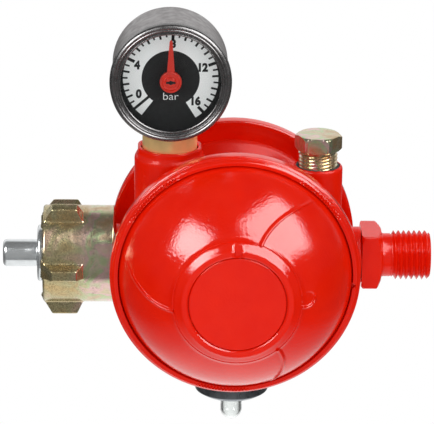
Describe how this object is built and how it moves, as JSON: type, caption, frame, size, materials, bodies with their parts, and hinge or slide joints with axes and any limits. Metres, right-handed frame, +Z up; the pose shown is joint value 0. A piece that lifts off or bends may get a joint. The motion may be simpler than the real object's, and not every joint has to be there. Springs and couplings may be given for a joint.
{
  "type": "gas regulator",
  "caption": "Round two-stage gas pressure regulator with a dial gauge, union nut inlet, threaded outlet, test plug and overpressure shut-off.",
  "frame": {"origin": "centre of the inlet seal face, where the inlet spigot leaves its flange", "axes": "+X along the gas line from inlet to outlet, +Y to the rear, away from the domed front cover, +Z up towards the gauge"},
  "size_m": [0.121, 0.0745, 0.1204],
  "materials": {
    "red_coat": "glossy powder coat",
    "gold_chromate": "yellow passivated zinc plate",
    "zinc_plate": "bright zinc plate",
    "steel": "plain steel",
    "spring_steel": "hard drawn wire",
    "brass": "turned",
    "case_coat": "satin dark lacquer",
    "bezel_black": "gloss",
    "window": "clear",
    "dial_print": "printed matt",
    "pointer_red": "matt lacquer",
    "blued_steel": "blued",
    "clear_cap": "clear moulded",
    "signal_green": "pale moulded",
    "rubber": "moulded",
    "filter_bronze": "sintered"
  },
  "bodies": {
    "root": {"first_stage_adjuster": "brass", "first_stage_cap": "red_coat", "first_stage_cover": "red_coat", "first_stage_diaphragm": "rubber", "first_stage_lever_pin": "steel", "first_stage_nozzle": "brass", "first_stage_spring": "spring_steel", "gauge_bezel": "bezel_black", "gauge_bourdon_tube": "brass", "gauge_case": "case_coat", "gauge_dial": "dial_print", "gauge_lens": "window", "gauge_movement_frame": "brass", "gauge_seal": "rubber", "gauge_socket": "brass", "housing": "red_coat", "inlet_filter": "filter_bronze", "inlet_nipple": "zinc_plate", "outlet_fitting": "red_coat", "outlet_seal": "rubber", "second_stage_adjuster": "brass", "second_stage_cap": "red_coat", "second_stage_cover": "red_coat", "second_stage_diaphragm": "rubber", "second_stage_lever_pin": "steel", "second_stage_nozzle": "brass", "second_stage_spring": "spring_steel", "shutoff_cover": "blued_steel", "shutoff_diaphragm": "rubber", "shutoff_sight_cap": "clear_cap", "shutoff_spring": "spring_steel", "test_plug": "gold_chromate", "test_plug_seal": "rubber"},
    "nut_washer": {"nut_thrust_washer": "zinc_plate"},
    "nut": {"union_nut": "gold_chromate"},
    "pointer": {"gauge_pointer": "pointer_red", "gauge_arbor": "brass"},
    "sector": {"gauge_sector": "brass"},
    "tube_link": {"gauge_link": "brass"},
    "first_stage_lift": {"first_stage_diaphragm_plate": "zinc_plate", "first_stage_stem": "steel"},
    "first_stage_valve": {"first_stage_lever": "steel", "first_stage_seat_pad": "rubber"},
    "second_stage_lift": {"second_stage_diaphragm_plate": "zinc_plate", "second_stage_stem": "steel"},
    "second_stage_valve": {"second_stage_lever": "steel", "second_stage_seat_pad": "rubber"},
    "trip_pin": {"shutoff_indicator": "signal_green"}
  },
  "joints": [
    {"name": "nut_slide", "type": "slide", "parent": "root", "child": "nut_washer", "axis": [-1, 0, 0], "range_m": [0, 0.01]},
    {"name": "nut_spin", "type": "hinge", "parent": "nut_washer", "child": "nut", "pos_m": [0, 0, 0], "axis": [1, 0, 0], "continuous": true},
    {"name": "pointer_turn", "type": "hinge", "parent": "root", "child": "pointer", "pos_m": [0.0371, 0, 0.0536], "axis": [0, 1, 0], "range_deg": [-129, 135], "deforming": ["gauge_bourdon_tube"]},
    {"name": "sector_turn", "type": "hinge", "parent": "root", "child": "sector", "pos_m": [0.0371, 0, 0.0431], "axis": [0, 1, 0], "range_deg": [-22.6, 21.6]},
    {"name": "link_turn", "type": "hinge", "parent": "sector", "child": "tube_link", "pos_m": [0.04143, 0.0006, 0.0456], "axis": [0, 1, 0], "range_deg": [-21.6, 22.6]},
    {"name": "first_stage_travel", "type": "slide", "parent": "root", "child": "first_stage_lift", "axis": [0, 1, 0], "range_m": [0, 0.001], "deforming": ["first_stage_diaphragm", "first_stage_spring"]},
    {"name": "first_stage_lever_turn", "type": "hinge", "parent": "root", "child": "first_stage_valve", "pos_m": [0.0465, 0.0094, 0], "axis": [0, 0, 1], "range_deg": [0, 6.4]},
    {"name": "second_stage_travel", "type": "slide", "parent": "root", "child": "second_stage_lift", "axis": [0, -1, 0], "range_m": [0, 0.001], "deforming": ["second_stage_diaphragm", "second_stage_spring"]},
    {"name": "second_stage_lever_turn", "type": "hinge", "parent": "root", "child": "second_stage_valve", "pos_m": [0.0555, -0.0094, 0.009], "axis": [-1, 0, 0], "range_deg": [0, 6.4]},
    {"name": "trip_pin_drop", "type": "slide", "parent": "root", "child": "trip_pin", "axis": [0, 0, -1], "range_m": [0, 0.002], "deforming": ["shutoff_spring"]}
  ],
  "couplings": [
    {"joint": "sector_turn", "follows": "pointer_turn", "ratio": -0.16667},
    {"joint": "link_turn", "follows": "pointer_turn", "ratio": 0.16667},
    {"joint": "first_stage_lever_turn", "follows": "first_stage_travel", "rad_per_m": 111.11},
    {"joint": "second_stage_lever_turn", "follows": "second_stage_travel", "rad_per_m": 111.11}
  ]
}
